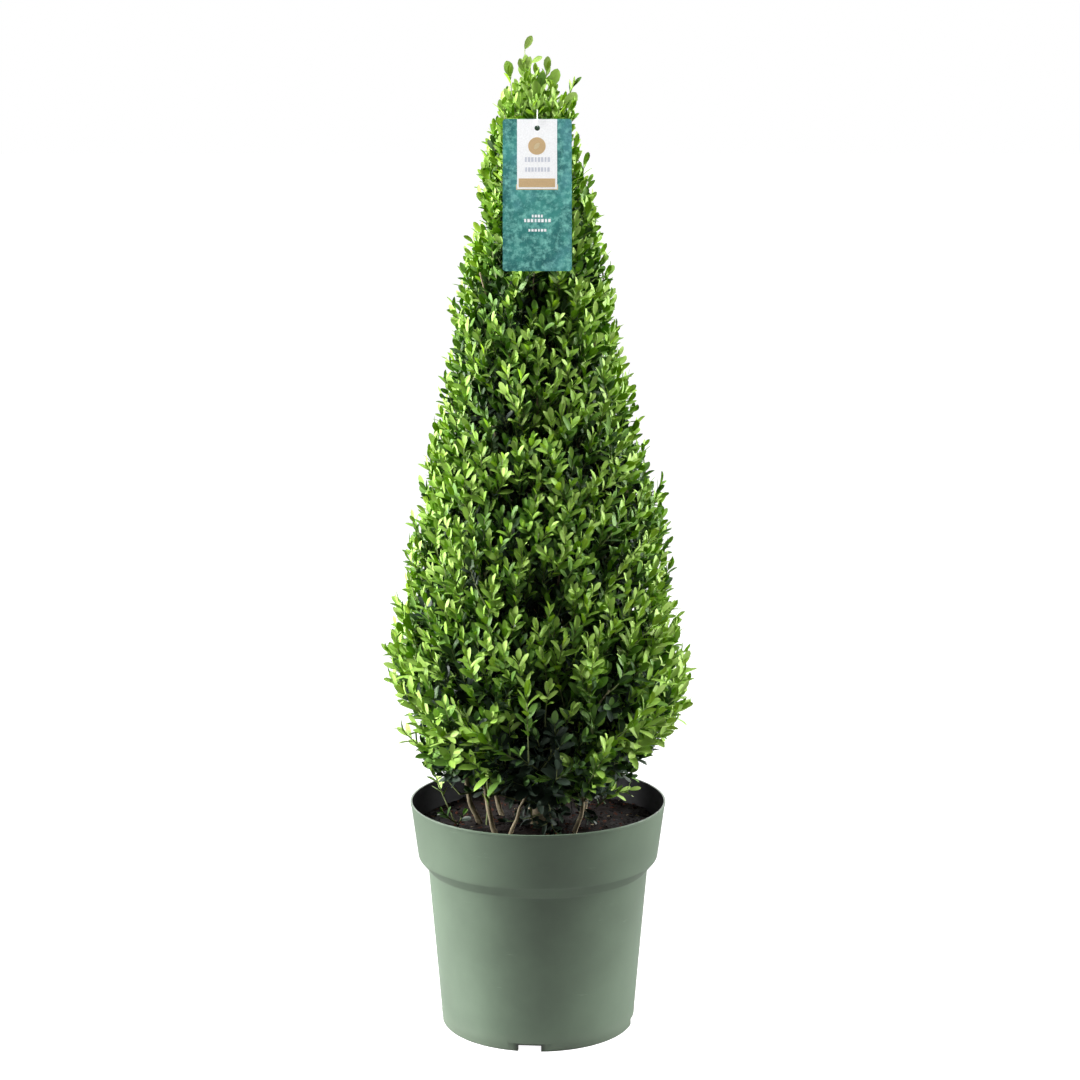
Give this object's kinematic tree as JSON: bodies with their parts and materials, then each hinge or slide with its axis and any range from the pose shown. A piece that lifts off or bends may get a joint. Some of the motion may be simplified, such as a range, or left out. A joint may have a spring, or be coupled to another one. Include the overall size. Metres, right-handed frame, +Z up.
{
  "type": "potted holly cone topiary",
  "caption": "Tall clipped cone of small glossy holly leaves on a woody stem, rooted in a round grey-green nursery pot with a deep collar, with a plain teal hang label near its tip.",
  "frame": {"origin": "on the ground, on the pot's axis, at the flat underside of the pot's foot ring", "axes": "+Z up the plant; -Y is the side that the hang label faces; +X is to the right when the label is looked at"},
  "size_m": [0.3377, 0.3312, 1.072],
  "materials": {
    "pot": "satin",
    "soil": "matte",
    "bark": "matte",
    "foliage": "satin",
    "label": "satin",
    "tie": "gloss"
  },
  "bodies": {
    "root": {"pot": "pot", "soil": "soil", "main_stem": "bark", "basal_stem_back": "bark", "basal_stem_back_left": "bark", "basal_stem_front": "bark", "basal_stem_front_left": "bark", "basal_stem_front_right": "bark", "basal_stem_left": "bark", "basal_stem_right": "bark", "low_shoot_left": "bark", "low_shoot_right": "bark", "foliage_high_1": "foliage", "foliage_high_2": "foliage", "foliage_high_3": "foliage", "foliage_low_left": "foliage", "foliage_low_right": "foliage", "foliage_lower_1": "foliage", "foliage_lower_2": "foliage", "foliage_lower_3": "foliage", "foliage_lower_4": "foliage", "foliage_lower_5": "foliage", "foliage_middle_1": "foliage", "foliage_middle_2": "foliage", "foliage_middle_3": "foliage", "foliage_middle_4": "foliage", "foliage_skirt_1": "foliage", "foliage_skirt_2": "foliage", "foliage_skirt_3": "foliage", "foliage_skirt_4": "foliage", "foliage_skirt_5": "foliage", "foliage_skirt_6": "foliage", "foliage_tip": "foliage", "foliage_top_1": "foliage", "foliage_top_2": "foliage", "foliage_upper_1": "foliage", "foliage_upper_2": "foliage", "foliage_upper_3": "foliage", "label_card": "label", "label_tie": "tie"}
  },
  "joints": []
}
